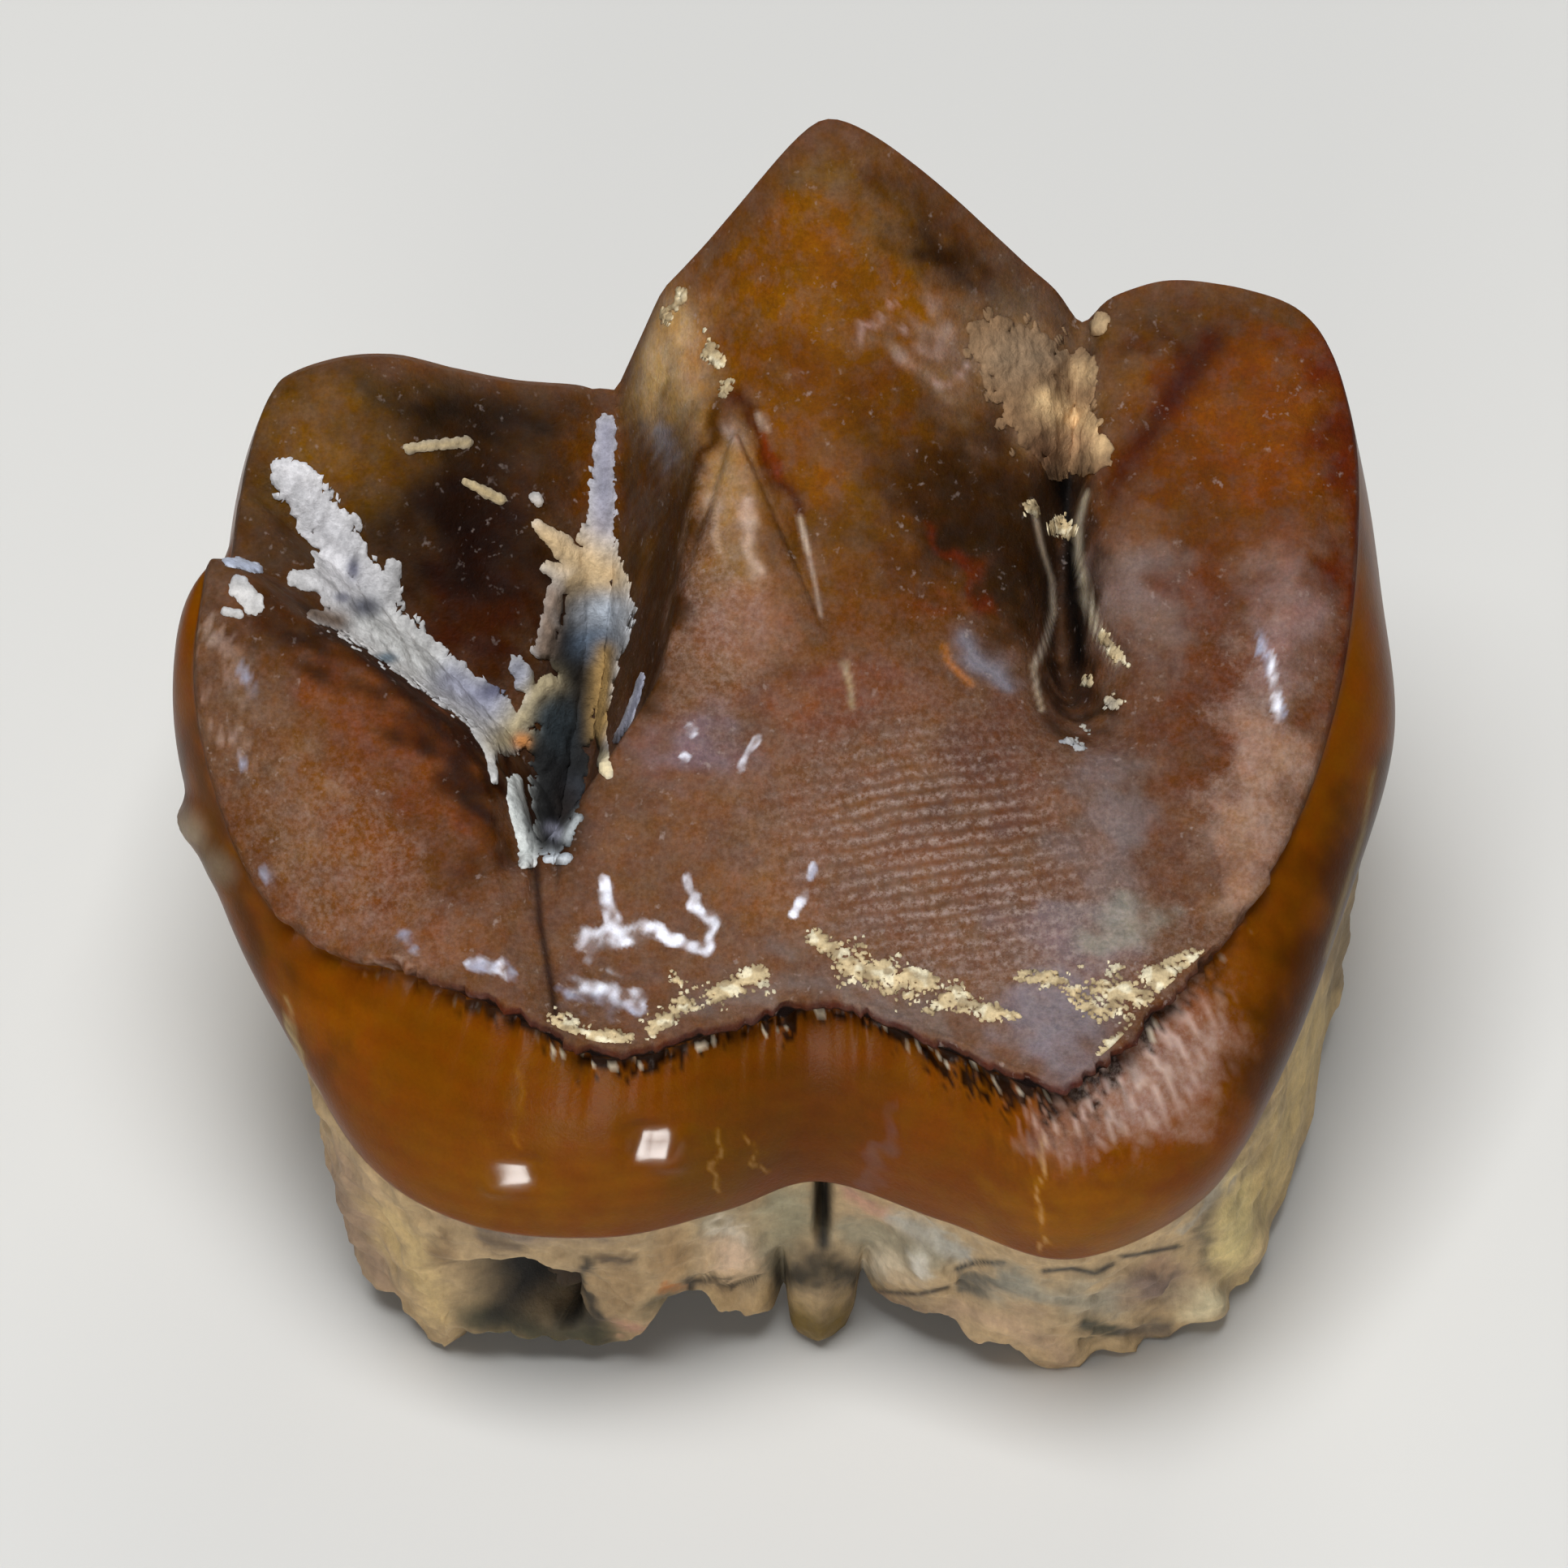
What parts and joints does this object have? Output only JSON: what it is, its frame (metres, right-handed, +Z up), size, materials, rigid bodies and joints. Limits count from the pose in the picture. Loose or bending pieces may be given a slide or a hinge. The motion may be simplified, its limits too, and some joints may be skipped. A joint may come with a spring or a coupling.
{
  "type": "fossil running rhino tooth",
  "caption": "Glossy brown fossil rhino cheek tooth on broken tan roots, with a pointed high cusp, lobed worn ramp, deep valleys and pale sediment in them.",
  "frame": {"origin": "centre of the footprint, at the plane that the root tips stand on", "axes": "+X along the tooth towards the plain right lobe, +Y across it towards the high cusps, +Z up out of the chewing side"},
  "size_m": [0.02, 0.0156, 0.0182],
  "materials": {
    "fossil_enamel": "glossy, slightly see-through brown to amber fossil enamel",
    "fossil_root": "matt, rough tan fossil dentine with broken edges",
    "pale_sediment": "matt, chalky grey-white crust",
    "tan_sediment": "matt, gritty tan crust"
  },
  "bodies": {
    "root": {"tooth": "fossil_enamel", "valley_sediment_left": "pale_sediment", "valley_sediment_right": "tan_sediment"}
  },
  "joints": []
}
